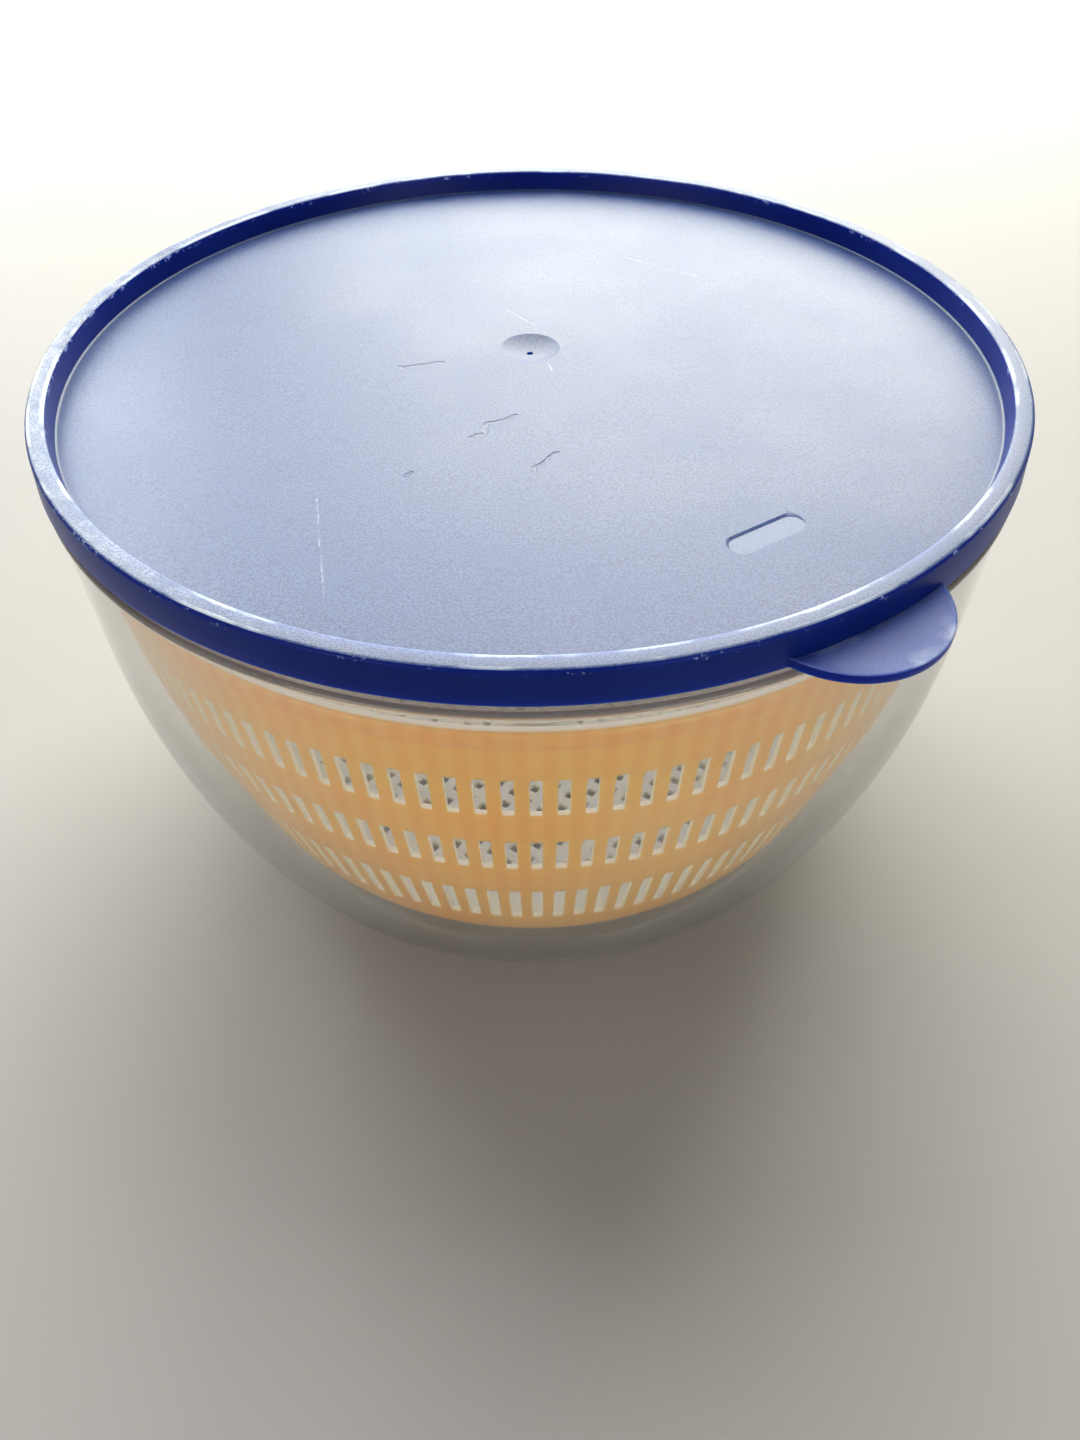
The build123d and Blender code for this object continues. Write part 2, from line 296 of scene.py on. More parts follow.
def make_lid():
    """The lid: a lathed outline, joined with the tab and cut by the blank badge."""
    crown = (PLATE_RADIUS**2 + PLATE_CROWN**2) / (2 * PLATE_CROWN)
    dish = (DIMPLE_RADIUS**2 + DIMPLE_DEPTH**2) / (2 * DIMPLE_DEPTH)
    dish_bottom = plate_height(DIMPLE_RADIUS, crown) - DIMPLE_DEPTH
    gate_angle, rim_angle = (-pi / 2 + asin(r / dish) for r in (GATE_RADIUS, DIMPLE_RADIUS))
    dimple = arc((0, dish_bottom + dish), dish, gate_angle, rim_angle, 12)[:-1]
    plate = [(r, plate_height(r, crown)) for r in spaced(DIMPLE_RADIUS, PLATE_RADIUS - 1, 36)]
    rim = rounded(
        [
            (*plate[-1], 0),
            (PLATE_RADIUS, PLATE_EDGE, LID_ROUND),
            (LIP_RADIUS, HEIGHT, LID_ROUND),
            (LID_TOP_RADIUS, HEIGHT, 2 * LID_ROUND),
            (SKIRT_RADIUS, SKIRT_BOTTOM, SKIRT_ROUND),
            (CHANNEL_OUTER, SKIRT_BOTTOM, SKIRT_ROUND),
            (CHANNEL_OUTER, HEIGHT - LID_WALL, CHANNEL_ROUND),
            (LIP_RADIUS + LID_WALL, HEIGHT - LID_WALL, CHANNEL_ROUND),
            (PLATE_RADIUS + LID_WALL, PLATE_EDGE - LID_WALL, 0.8),
            (PLATE_RADIUS - 10, plate_height(PLATE_RADIUS - 10, crown) - LID_WALL, 0),
        ]
    )
    under = [
        (r, plate_height(r, crown) - LID_WALL)
        for r in spaced(PLATE_RADIUS - 15, DIMPLE_RADIUS + 10, 12)
    ]
    nub = [(DIMPLE_RADIUS / 2, dish_bottom - LID_WALL), (0, dish_bottom - LID_WALL)]
    gate = [(0, dish_bottom - GATE_DEPTH), (GATE_RADIUS, dish_bottom - GATE_DEPTH)]
    lid = make_object("lid_moulding", *lathe(gate + dimple + plate + rim[1:] + under + nub, 360))
    combine(lid, make_tab(), "UNION")
    combine(lid, make_badge(crown), "DIFFERENCE")
    return lid


def tab_outline(inset):
    """The tab's outline from above, moved inward by an inset: a round end between two round inner
    corners. Its root lies inside the skirt's wall."""
    root = (CHANNEL_OUTER + SKIRT_RADIUS) / 2
    reach = root + TAB_CORNER
    span = TAB_ROUND + TAB_CORNER
    angle = acos((TAB_CENTRE**2 + reach**2 - span**2) / (2 * TAB_CENTRE * reach))
    corner = (reach * cos(angle), reach * sin(angle))
    inward = atan2(-corner[1], -corner[0])
    outward = atan2(-corner[1], TAB_CENTRE - corner[0])
    end = atan2(corner[1], corner[0] - TAB_CENTRE)
    half = arc((TAB_CENTRE, 0), TAB_ROUND - inset, 0, end, 28)
    half += arc(corner, TAB_CORNER + inset, outward, outward + (inward - outward) % -FULL, 8)[1:]
    kept = []
    for x, y in half:
        pull = max(1.0, (root - 0.3) / hypot(x, y))
        kept.append((x * pull, y * pull))
    mirrored = [(x, -y) for x, y in reversed(kept[1:])]
    return mirrored + kept


def make_tab():
    """The pull tab: rings of its outline, moved in one by one, with a rounded edge and a raised bead."""
    top = TAB_THICKNESS + TAB_BEAD
    edge = [(0.5, 0.0), (0.12, 0.12), (0.0, 0.5), (0.0, top - 0.5), (0.12, top - 0.12), (0.45, top)]
    bead = [(1.0, TAB_THICKNESS + TAB_BEAD * 0.7), (2.0, TAB_THICKNESS + TAB_BEAD * 0.2)]
    middle = [(3.5, 0.0), (6.0, -0.15), (9.5, -0.1), (14.0, 0.0)]
    levels = edge + bead + [(inset, TAB_THICKNESS + offset) for inset, offset in middle]
    rings = [tab_outline(inset) for inset, _ in levels]
    count = len(rings[0])
    turn = Matrix.Rotation(TAB_AZIMUTH, 3, "Z")
    vertices = [
        turn @ Vector((x, y, SKIRT_BOTTOM + height))
        for ring, (_, height) in zip(rings, levels)
        for x, y in ring
    ]
    faces = [
        [k * count + i, k * count + i + 1, (k + 1) * count + i + 1, (k + 1) * count + i]
        for k in range(len(levels) - 1)
        for i in range(count - 1)
    ]
    starts = [k * count for k in range(len(levels))]
    faces.append(starts + [start + count - 1 for start in reversed(starts)])
    faces += [list(range(count))[::-1], list(range(starts[-1], starts[-1] + count))]
    return make_object("tab", vertices, faces)


def make_badge(crown):
    """The cutter of the blank badge: a shallow round-ended recess beside the tab."""
    radius = BADGE_WIDTH / 2
    straight = (BADGE_LENGTH - BADGE_WIDTH) / 2
    outline = arc((0, straight), radius, 0, pi, 16) + arc((0, -straight), radius, pi, FULL, 16)
    turn = Matrix.Rotation(TAB_AZIMUTH, 3, "Z")
    bottom = plate_height(BADGE_RADIUS, crown) - BADGE_DEPTH
    levels = ((bottom, 0.94), (bottom + 2, 2.1))  # a height, and the width there as a share of the badge's
    vertices = [
        turn @ Vector((BADGE_RADIUS + x * scale, y + (y / abs(y or 1)) * (scale - 1) * radius, z))
        for z, scale in levels
        for x, y in outline
    ]
    count = len(outline)
    sides = [[i, (i + 1) % count, count + (i + 1) % count, count + i] for i in range(count)]
    ends = [list(range(count))[::-1], list(range(count, 2 * count))]
    return make_object("badge", vertices, sides + ends)


# Bowl ------------------------------------------------------------------------------------------


def make_bowl():
    """The bowl: a lathed outline, from the outside down to the foot, up the inside and over the rim."""
    belly, corner, meeting = shell_arcs(
        BOWL_SIDE_RADIUS, BOWL_SIDE_HEIGHT, BOWL_DRAFT, BOWL_BELLY, BOWL_CORNER, bowl_low.z
    )
    slope = tan(BOWL_DRAFT)
    neck = BOWL_SIDE_RADIUS + (COLLAR_BOTTOM - BOWL_SIDE_HEIGHT) * slope
    rim_inner = BOWL_SIDE_RADIUS - BOWL_WALL + (bowl_high.z - BOWL_SIDE_HEIGHT) * slope
    rim_outer = rim_inner + BOWL_RIM
    collar_radius = bowl_high.x
    inside = FOOT_RISE + BOWL_WALL
    pin_radius = pin_high.x

    outer = arc(belly, BOWL_BELLY, -BOWL_DRAFT, -meeting, 28)
    outer += arc(corner, BOWL_CORNER, -meeting, -pi / 2, 18)[1:]
    inner = arc(corner, BOWL_CORNER - BOWL_WALL, -pi / 2, -meeting, 18)
    inner += arc(belly, BOWL_BELLY - BOWL_WALL, -meeting, -BOWL_DRAFT, 28)[1:]
    rim = rounded(
        [
            (*inner[-1], 0),
            (rim_inner, bowl_high.z, 0.6),
            (rim_outer, bowl_high.z, 0.6),
            (rim_outer, COLLAR_TOP, 0.4),
            (collar_radius, COLLAR_TOP, 1.15),
            (collar_radius, COLLAR_BOTTOM, 1.15),
            (neck, COLLAR_BOTTOM, 0.3),
            (*outer[0], 0),
        ]
    )
    foot = rounded(
        [
            (*outer[-1], 0),
            (FOOT_RADIUS, bowl_low.z, 0.4),
            (FOOT_RADIUS - FOOT_RISE, FOOT_RISE, 0.6),
            (0, FOOT_RISE, 0),
        ]
    )
    floor = rounded(
        [
            (0, pin_low.z, 0),
            (pin_radius, pin_low.z, 0),
            (pin_radius, BOSS_TOP, 0.2),
            (BOSS_NOSE, BOSS_TOP, 1.0),
            (BOSS_RADIUS, inside, 4.0),
            (FOOT_RADIUS - BOWL_WALL, inside, 1.5),
            (FOOT_RADIUS + BOWL_WALL, BOWL_WALL, 1.5),
            (*inner[0], 0),
        ]
    )
    outline = outer + foot[1:] + floor + inner[1:] + rim[1:-1]
    return make_object("bowl_moulding", *lathe(outline, 288), sharp=50)


# Basket ----------------------------------------------------------------------------------------


def wall_levels(top, bottom):
    """Heights down the slotted wall, one at each end of every slot and one just above it among them."""
    stops = [top]
    for middle, height in SLOT_ROWS:
        stops += [middle + height / 2 + BAND_STEP, middle + height / 2, middle - height / 2]
    stops.append(bottom)
    levels = [top]
    for high, low in zip(stops, stops[1:]):
        levels += spaced(high, low, max(1, ceil((high - low) / WALL_STEP)))[1:]
    return levels


def in_slot(height):
    """Whether a height lies between the ends of a row of slots."""
    return any(abs(height - middle) < size / 2 for middle, size in SLOT_ROWS)


def band_recess(height):
    """How far the outside is set in: most along the top of a row of slots, and nothing at its bottom."""
    for middle, size in SLOT_ROWS:
        if abs(height - middle) <= size / 2 + 1e-6:
            return BAND_STEP * (height - middle + size / 2) / size
    return 0.0


def slot_columns(radius, height):
    """One ring of the basket's wall: for each slot, its two sides and the middle of the bar beside it."""
    half = asin(SLOT_WIDTH / 2 / radius)
    pitch = FULL / SLOT_COUNT
    angles = [FRONT + i * pitch + side for i in range(SLOT_COUNT) for side in (-half, half, pitch / 2)]
    return [(radius * cos(a), radius * sin(a), height) for a in angles]


def basket_wall():
    """Vertices and faces of the wall, from the floor's underside over the rim and down to the floor's
    top, and the radius where the floor begins."""
    belly, corner, meeting = shell_arcs(
        BASKET_SIDE_RADIUS, BASKET_SIDE_HEIGHT, BASKET_DRAFT, BASKET_BELLY, BASKET_CORNER, BASKET_FLOOR
    )
    lowest, lowest_height = SLOT_ROWS[-1]
    levels = wall_levels(BASKET_SIDE_HEIGHT - 3, lowest - lowest_height / 2 - 2)

    def wall_radius(thickness, z):
        return belly[0] + sqrt((BASKET_BELLY - thickness) ** 2 - (z - belly[1]) ** 2)

    def side(thickness, recess=0.0):
        return [(wall_radius(thickness, z) - recess * band_recess(z), z) for z in levels]

    def base(thickness):
        reach = BASKET_BELLY - thickness
        start = -asin((belly[1] - levels[-1]) / reach)
        points = arc(belly, reach, start, -meeting, 3)[1:]
        return points + arc(corner, BASKET_CORNER - thickness, -meeting, -pi / 2, 9)[1:]

    rim = rounded(
        [
            (*side(BASKET_WALL)[0], 0),
            (wall_radius(BASKET_WALL, BASKET_SIDE_HEIGHT), BASKET_SIDE_HEIGHT, 4.0),
            (RIM_RADIUS - RIM_WIDTH, RIM_TOP, RIM_ROUND),
            (RIM_RADIUS, RIM_TOP, RIM_ROUND),
            (RIM_RADIUS, RIM_TOP - RIM_HEIGHT, 0.6),
            (BASKET_SIDE_RADIUS, BASKET_SIDE_HEIGHT, 0.6),
            (*side(0)[0], 0),
        ]
    )
    outer = side(0, recess=1.0) + base(0)
    inner = side(BASKET_WALL) + base(BASKET_WALL)
    loop = outer[::-1] + rim[-2:0:-1] + inner
    columns = 3 * SLOT_COUNT
    vertices = [v for radius, height in loop for v in slot_columns(radius, height)]
    first_inner = len(loop) - len(inner)
    outer_ring = [len(outer) - 1 - k for k in range(len(levels))]
    inner_ring = [first_inner + k for k in range(len(levels))]

    def at(ring, column):
        return ring * columns + column % columns

    def band(ring, other, column):
        """The face from one column to the next, between two rings."""
        return [at(ring, column), at(ring, column + 1), at(other, column + 1), at(other, column)]

    slot_ends = [middle + sign * size / 2 for middle, size in SLOT_ROWS for sign in (-1, 1)]
    slot_rings = set()
    faces = []
    for k in range(len(levels) - 1):
        if not in_slot((levels[k] + levels[k + 1]) / 2):
            continue
        slot_rings.update([(outer_ring[k + 1], outer_ring[k]), (inner_ring[k], inner_ring[k + 1])])
        for column in range(0, columns, 3):
            for c in (column, column + 1):
                faces.append(
                    [
                        at(outer_ring[k], c),
                        at(outer_ring[k + 1], c),
                        at(inner_ring[k + 1], c),
                        at(inner_ring[k], c),
                    ]
                )
    for k, height in enumerate(levels):
        if any(abs(height - end) < 1e-6 for end in slot_ends):
            faces += [band(outer_ring[k], inner_ring[k], c) for c in range(0, columns, 3)]
    for ring in range(len(loop) - 1):
        slotted = (ring, ring + 1) in slot_rings
        faces += [band(ring, ring + 1, c) for c in range(columns) if c % 3 or not slotted]
    return vertices, faces, corner[0]


def floor_holes():
    """Places of the floor's square holes: staggered rows between the hub and the basket's corner."""
    nearest, farthest = HOLE_FIELD
    columns = int(farthest / HOLE_PITCH) + 1
    rows = int(farthest / HOLE_ROW_PITCH) + 1
    grid = [
        ((column + (row % 2) / 2) * HOLE_PITCH, row * HOLE_ROW_PITCH)
        for row in range(-rows, rows + 1)
        for column in range(-columns, columns + 1)
    ]
    return [place for place in grid if nearest < hypot(*place) < farthest]


def floor_sheet(outer_ring, inner_radius, inner_columns, height):
    """One face of the floor, triangulated between its outer ring, its inner ring and its holes: its
    vertices and faces, and the two ends of each side of each hole."""
    turn = Matrix.Rotation(HOLE_TURN, 2)
    reach = HOLE_SIDE / sqrt(2)
    holes = [turn @ Vector(place) for place in floor_holes()]
    corners = [turn @ Vector(d) for d in ((reach, 0), (0, reach), (-reach, 0), (0, -reach))]
    angles = [FULL * i / inner_columns for i in range(inner_columns)]
    loops = [
        [Vector(v[:2]) for v in outer_ring],
        [Vector((inner_radius * cos(a), inner_radius * sin(a))) for a in angles],
    ]
    loops += [[hole + corner for corner in corners] for hole in holes]
    points, edges = [], []
    for loop in loops:
        start = len(points)
        points += loop
        edges += [(start + i, start + (i + 1) % len(loop)) for i in range(len(loop))]
    whole_hull = 0
    flat, _, triangles, *_ = delaunay_2d_cdt(points, edges, [], whole_hull, 1e-6)
    back = turn.transposed()

    def solid(triangle):
        """Whether a triangle lies between the hub and the corner, outside every hole."""
        middle = sum((flat[i] for i in triangle), Vector((0, 0))) / 3
        if middle.length < inner_radius:
            return False
        x, y = back @ middle
        row = round(y / HOLE_ROW_PITCH)
        for near in (row - 1, row, row + 1):
            shift = (near % 2) / 2
            column = round(x / HOLE_PITCH - shift) + shift
            place = (column * HOLE_PITCH, near * HOLE_ROW_PITCH)
            inside = abs(x - place[0]) + abs(y - place[1]) < reach
            if inside and HOLE_FIELD[0] < hypot(*place) < HOLE_FIELD[1]:
                return False
        return True

    outer_radius = hypot(*outer_ring[0][:2])
    kept = [t for t in triangles if solid(t)]
    kept = [t for t in kept if max(flat[i].length for i in t) <= outer_radius + 0.01]
    walls = [(hole + corners[i], hole + corners[(i + 1) % 4]) for hole in holes for i in range(4)]
    return [(p.x, p.y, height) for p in flat], [list(t) for t in kept], walls


def gather(parts):
    """One list of vertices and faces from several."""
    vertices, faces = [], []
    for part_vertices, part_faces in parts:
        start = len(vertices)
        vertices += part_vertices
        faces += [[start + i for i in face] for face in part_faces]
    return vertices, faces


def make_basket():
    """The basket: slotted wall, the floor's two faces with its holes' sides, and the hub, all welded."""
    wall_vertices, wall_faces, floor_radius = basket_wall()
    floor_top = BASKET_FLOOR + BASKET_WALL
    hub_columns = 64
    hub_foot = HUB_RADIUS + 2 * HUB_ROUND
    ring = slot_columns(floor_radius, 0)
    top = floor_sheet(ring, hub_foot, hub_columns, floor_top)
    bottom = floor_sheet(ring, HUB_RADIUS, hub_columns, BASKET_FLOOR)
    hole_corners = []
    for a, b in top[2]:
        hole_corners += [(*a, floor_top), (*b, floor_top), (*b, BASKET_FLOOR), (*a, BASKET_FLOOR)]
    hole_faces = [[first, first + 1, first + 2, first + 3] for first in range(0, len(hole_corners), 4)]
    hub_outside = rounded(
        [
            (hub_foot, floor_top, 0),
            (HUB_RADIUS, floor_top, 2 * HUB_ROUND - 0.01),
            (HUB_RADIUS, HUB_TOP, HUB_ROUND),
            (0, HUB_TOP, 0),
        ],
        steps=7,
    )
    bore = CUP_RADIUS + RUNNING_FIT
    lip = CUP_NECK + RUNNING_FIT
    hub_inside = [
        (HUB_RADIUS, BASKET_FLOOR),
        (HUB_RADIUS, HUB_BOTTOM),
        (lip, HUB_BOTTOM),
        (lip, HUB_BOTTOM + HUB_LIP),
        (bore, HUB_BOTTOM + HUB_LIP),
        (bore, cup_high.z),
        (0, cup_high.z),
    ]
    vertices, faces = gather(
        [
            (wall_vertices, wall_faces),
            top[:2],
            bottom[:2],
            (hole_corners, hole_faces),
            lathe(hub_outside, hub_columns, closed=False),
            lathe(hub_inside, hub_columns, closed=False),
        ]
    )
    basket = make_object("basket_moulding", vertices, faces)
    bevel = basket.modifiers.new("Soft edges", "BEVEL")
    bevel.width = 0.3 * MM
    bevel.segments = 2
    bevel.limit_method = "ANGLE"
    bevel.angle_limit = radians(50)
    bevel.use_clamp_overlap = True
    return basket


# Materials -------------------------------------------------------------------------------------


class Shader:
    """A material's node tree, with a short call for each kind of node that the finishes share."""

    def __init__(self, name):
        self.material = bpy.data.materials.new(name)
        self.material.use_nodes = True
        self.tree = self.material.node_tree
        self.tree.nodes.clear()
        self.output = self.add("ShaderNodeOutputMaterial")
        self.surface = self.add("ShaderNodeBsdfPrincipled")
        self.link(self.surface.outputs[0], self.output.inputs["Surface"])
        self.place = self.add("ShaderNodeTexCoord")

    def add(self, kind, **settings):
        node = self.tree.nodes.new(kind)
        for name, value in settings.items():
            setattr(node, name, value)
        return node

    def link(self, source, target):
        self.tree.links.new(source, target)

    def set(self, **values):
        for name, value in values.items():
            self.surface.inputs[name.replace("_", " ")].default_value = value

    def drive(self, source, name):
        self.link(source, self.surface.inputs[name])

    def feed(self, socket, value):
        """Sets a socket from a number, a colour or another node's output."""
        if isinstance(value, bpy.types.NodeSocket):
            self.link(value, socket)
        else:
            socket.default_value = value

    def noise(self, scale, detail=2.0, roughness=0.5, stretch=(1, 1, 1), where=None):
        mapping = self.add("ShaderNodeMapping")
        self.link(where or self.place.outputs["Object"], mapping.inputs["Vector"])
        mapping.inputs["Scale"].default_value = stretch
        node = self.add("ShaderNodeTexNoise")
        self.link(mapping.outputs[0], node.inputs["Vector"])
        node.inputs["Scale"].default_value = scale
        node.inputs["Detail"].default_value = detail
        node.inputs["Roughness"].default_value = roughness
        return node.outputs["Fac"]

    def position(self):
        """The surface point's x, y and z in the row frame, in metres."""
        return self.split(self.place.outputs["Object"])

    def maths(self, operation, a, b=0.0, clamp=False):
        node = self.add("ShaderNodeMath", operation=operation, use_clamp=clamp)
        self.feed(node.inputs[0], a)
        self.feed(node.inputs[1], b)
        return node.outputs[0]

    def ramp(self, value, low, high, start=0.0, end=1.0):
        """Maps low to start and high to end, smoothly, and holds it there beyond them."""
        node = self.add("ShaderNodeMapRange", interpolation_type="SMOOTHSTEP")
        self.feed(node.inputs["Value"], value)
        for name, number in (("From Min", low), ("From Max", high), ("To Min", start), ("To Max", end)):
            node.inputs[name].default_value = number
        return node.outputs["Result"]

    def mix(self, factor, a, b):
        node = self.add("ShaderNodeMix", data_type="RGBA")
        self.feed(node.inputs["Factor"], factor)
        self.feed(node.inputs[6], a)
        self.feed(node.inputs[7], b)
        return node.outputs[2]

    def bump(self, height, strength, distance, under=None):
        node = self.add("ShaderNodeBump")
        self.feed(node.inputs["Height"], height)
        node.inputs["Strength"].default_value = strength
        node.inputs["Distance"].default_value = distance
        if under:
            self.link(under, node.inputs["Normal"])
        return node.outputs["Normal"]

    def pass_light(self, colour):
        """Lets this share of the lamps' light through, so that what is behind the wall is lit."""
        clear = self.add("ShaderNodeBsdfTransparent")
        clear.inputs[0].default_value = colour
        blend = self.add("ShaderNodeMixShader")
        self.link(self.add("ShaderNodeLightPath").outputs["Is Shadow Ray"], blend.inputs[0])
        self.link(self.surface.outputs[0], blend.inputs[1])
        self.link(clear.outputs[0], blend.inputs[2])
        self.link(blend.outputs[0], self.output.inputs["Surface"])

    def split(self, vector):
        node = self.add("ShaderNodeSeparateXYZ")
        self.link(vector, node.inputs[0])
        return node.outputs

    def axis_distance(self):
        """Distance from the spin axis, in metres."""
        x, y, _ = self.position()
        squares = self.maths("ADD", self.maths("MULTIPLY", x, x), self.maths("MULTIPLY", y, y))
        return self.maths("SQRT", squares)


def millimetres(s):
    """The point seen from above, in millimetres."""
    flat = s.add("ShaderNodeVectorMath", operation="MULTIPLY")
    s.link(s.place.outputs["Object"], flat.inputs[0])
    flat.inputs[1].default_value = (1 / MM, 1 / MM, 0)
    return flat.outputs[0]


def shaken(s, point, amount, scale):
    """The point moved about by noise, so that a straight mark wavers."""
    wander = s.add("ShaderNodeTexNoise")
    wander.inputs["Scale"].default_value = scale
    s.link(s.place.outputs["Object"], wander.inputs["Vector"])
    offset = s.add("ShaderNodeVectorMath", operation="SUBTRACT")
    s.link(wander.outputs["Color"], offset.inputs[0])
    offset.inputs[1].default_value = (0.5, 0.5, 0.5)
    moved = s.add("ShaderNodeVectorMath", operation="MULTIPLY_ADD")
    s.link(offset.outputs[0], moved.inputs[0])
    moved.inputs[1].default_value = (amount, amount, 0)
    s.link(point, moved.inputs[2])
    return moved.outputs[0]


def near_marks(s, point, marks, inner, outer):
    """One within the inner distance of the marks, and nothing beyond the outer."""
    nearest = None
    for start, end in marks:
        along = Vector((*end, 0)) - Vector((*start, 0))
        offset = s.add("ShaderNodeVectorMath", operation="SUBTRACT")
        s.link(point, offset.inputs[0])
        offset.inputs[1].default_value = (*start, 0)
        share = s.add("ShaderNodeVectorMath", operation="DOT_PRODUCT")
        s.link(offset.outputs[0], share.inputs[0])
        share.inputs[1].default_value = along / along.length_squared
        foot = s.add("ShaderNodeVectorMath", operation="SCALE")
        foot.inputs[0].default_value = along
        s.link(s.maths("MULTIPLY", share.outputs["Value"], 1.0, clamp=True), foot.inputs["Scale"])
        gap = s.add("ShaderNodeVectorMath", operation="DISTANCE")
        s.link(offset.outputs[0], gap.inputs[0])
        s.link(foot.outputs[0], gap.inputs[1])
        distance = gap.outputs["Value"]
        nearest = s.maths("MINIMUM", nearest, distance) if nearest else distance
    return s.ramp(nearest, inner, outer, 1.0, 0.0)


def worn_side(s):
    """One on the lid's left side, where it has rubbed most, and nothing from the middle to the right."""
    x, _, _ = s.position()
    return s.ramp(x, -LIP_RADIUS * MM, 0.0, 1.0, 0.0)


def scratched(s, flat):
    """How scratched a point of the lid's plate is."""
    faded = s.ramp(s.noise(300, detail=4.0, roughness=0.7), 0.40, 0.62, 0.05, 0.45)
    wavering = shaken(s, flat, 1.4, 90)
    return s.maths("MULTIPLY", near_marks(s, wavering, SCRATCHES, 0.12, 0.30), faded)


def rim_wear(s, radius, peaks):
    """How rubbed a point of the lid's flat rim is: ragged along both edges, and all over on the left."""
    left = worn_side(s)
    on_rim = s.ramp(radius, (LIP_RADIUS - 0.6) * MM, (LIP_RADIUS - 0.1) * MM)
    ragged = s.maths("SUBTRACT", s.noise(220, detail=5.0, roughness=0.75), 0.5)
    reach = s.maths("ADD", radius, s.maths("MULTIPLY", ragged, 1.6 * MM))
    outer = s.ramp(reach, (LID_TOP_RADIUS - 1.5) * MM, (LID_TOP_RADIUS - 0.9) * MM)
    inner = s.ramp(reach, (LIP_RADIUS + 0.7) * MM, (LIP_RADIUS + 1.2) * MM, 1.0, 0.0)
    edges = s.maths("MULTIPLY", s.maths("MAXIMUM", outer, inner), on_rim)
    edges = s.maths("MULTIPLY", edges, s.ramp(s.noise(45, detail=4.0), 0.46, 0.62, 0.0, 0.7))
    edges = s.maths("MULTIPLY", edges, s.maths("ADD", left, 1.0))
    blotches = s.ramp(s.noise(170, detail=5.0, roughness=0.7), 0.35, 0.65, 0.1, 0.5)
    rubbed = s.maths("MULTIPLY", s.maths("MULTIPLY", left, blotches), s.maths("ADD", peaks, 0.4))
    return s.maths("MAXIMUM", edges, s.maths("MULTIPLY", rubbed, on_rim), clamp=True)


def lid_grained():
    """The lid's upward faces: spark-eroded grain with a silvery haze, partly a painted sheen in paler dust
    patches, rubbed edges and scratches.
    """
    s = Shader("lid_grained")
    radius = s.axis_distance()
    flat = millimetres(s)
    grain = s.noise(1800, detail=2.0, roughness=0.6)
    patches = s.noise(13, detail=6.0, roughness=0.62)
    peaks = s.ramp(grain, 0.42, 0.58)
    blue = s.mix(peaks, LID_VALLEY, LID_PEAK)
    # Dust patches, also a painted sheen: the paler patches stand in for part of the haze of reflected
    # light.
    dust_and_sheen = s.mix(s.ramp(patches, 0.35, 0.72, 0.0, 0.30), blue, LID_DUST_AND_SHEEN)
    on_tab = s.ramp(radius, SKIRT_RADIUS * MM, (SKIRT_RADIUS + 1) * MM)
    # Painted shade: the tab is painted a deeper blue, for the haze it reflects less of.
    dust_and_sheen = s.mix(s.maths("MULTIPLY", on_tab, 0.6), dust_and_sheen, LID_TAB_SHADE)
    half = (BADGE_LENGTH - BADGE_WIDTH) / 2
    ends = [Matrix.Rotation(TAB_AZIMUTH, 2) @ Vector((BADGE_RADIUS, y)) for y in (-half, half)]
    badge = near_marks(s, flat, [ends], BADGE_WIDTH / 2 - 0.5, BADGE_WIDTH / 2 + 0.1)
    pale = s.maths("MAXIMUM", rim_wear(s, radius, peaks), scratched(s, flat))
    # Painted highlight: the badge's floor is painted a little paler, for the brighter reflection of its
    # smoother floor.
    pale = s.maths("MAXIMUM", pale, s.maths("MULTIPLY", badge, 0.12))
    dark = near_marks(s, shaken(s, flat, 4.5, 240), SCUFFS, 0.1, 0.9)
    colour = s.mix(pale, dust_and_sheen, LID_RUBBED_AND_BADGE_SHEEN)
    s.drive(s.mix(s.maths("MULTIPLY", dark, 0.7), colour, LID_SCUFFED), "Base Color")
    rough = s.maths("ADD", s.ramp(patches, 0.3, 0.7, 0.40, 0.50), s.maths("MULTIPLY", dark, -0.08))
    rough = s.maths("ADD", rough, s.maths("MULTIPLY", on_tab, 0.14))
    s.drive(rough, "Roughness")
    relief = s.maths("MULTIPLY", grain, s.maths("SUBTRACT", 1.0, s.maths("MULTIPLY", badge, 0.7)))
    s.drive(s.bump(dark, 0.8, -0.0003, under=s.bump(relief, 0.55, 0.0001)), "Normal")
    s.set(IOR=LID_IOR, Specular_IOR_Level=1.0)
    s.set(Subsurface_Weight=0.8, Subsurface_Radius=LID_SCATTER, Subsurface_Scale=0.006)
    s.pass_light(LID_GLOW)
    return s.material


def lid_smooth():
    """The lid's walls: plain polythene, deep blue, with nicks along the skirt's upper edge."""
    s = Shader("lid_smooth")
    _, _, height = s.position()
    patches = s.noise(22, detail=5.0, roughness=0.6)
    blue = s.mix(s.ramp(patches, 0.3, 0.7), *LID_WALL_BLUES)
    chips = s.noise(260, detail=5.0, roughness=0.75, stretch=(1, 1, 1.6))
    chips = s.maths("ADD", chips, s.maths("MULTIPLY", worn_side(s), 0.05))
    nicks = s.ramp(chips, 0.60, 0.66)
    edge = s.ramp(height, (HEIGHT - 1.9) * MM, (HEIGHT - 0.7) * MM)
    s.drive(s.mix(s.maths("MULTIPLY", nicks, edge), blue, LID_NICKED), "Base Color")
    s.drive(s.ramp(patches, 0.3, 0.7, 0.30, 0.40), "Roughness")
    s.drive(s.bump(s.noise(500, detail=3.0), 0.06, 0.0001), "Normal")
    s.set(IOR=LID_IOR, Specular_IOR_Level=0.12)
    s.set(Subsurface_Weight=0.8, Subsurface_Radius=LID_SCATTER, Subsurface_Scale=0.006)
    return s.material


